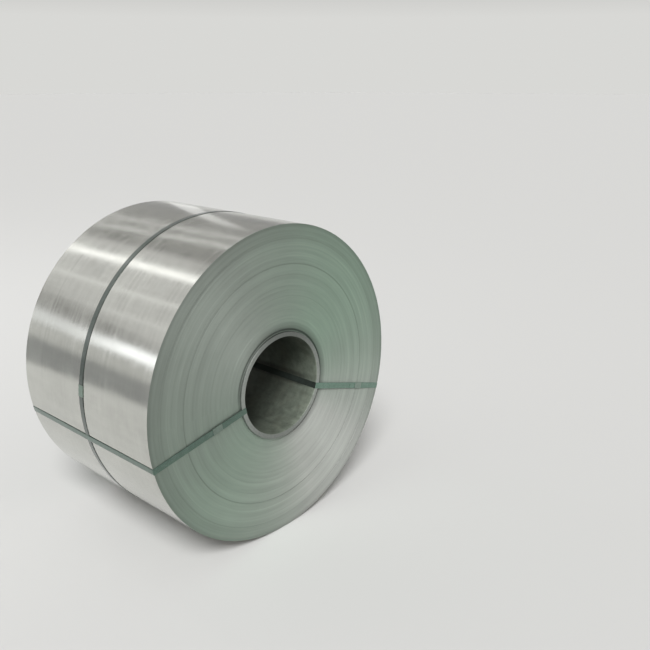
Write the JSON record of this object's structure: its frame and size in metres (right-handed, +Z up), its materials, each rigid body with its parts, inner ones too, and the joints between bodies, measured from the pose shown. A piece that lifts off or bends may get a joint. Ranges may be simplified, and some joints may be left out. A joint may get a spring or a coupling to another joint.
{
  "type": "steel coil",
  "caption": "Strapped coil of bright cold-rolled steel strip, wound on a steel core sleeve and lying on its side with its eye level, with crimped strapping round the belly and through the eye.",
  "frame": {"origin": "on the floor, below the middle of the coil", "axes": "+Y along the coil's axis, from the front end to the back end; +Z up; +X to the right as seen from the front end"},
  "size_m": [1.6331, 1.0483, 1.6318],
  "materials": {
    "strip": "bright cold-rolled steel with faint rolling streaks, lightly oiled",
    "sleeve": "dull mill-finish steel, darker inside the bore",
    "strap": "dark blued and waxed steel strapping, semi-gloss",
    "seal": "zinc-grey pressed steel"
  },
  "bodies": {
    "root": {"coil": "strip", "core_sleeve": "sleeve", "belly_strap": "strap", "belly_strap_seal": "seal", "eye_strap_left": "strap", "eye_strap_left_seal": "seal", "eye_strap_right": "strap", "eye_strap_right_seal": "seal"}
  },
  "joints": []
}
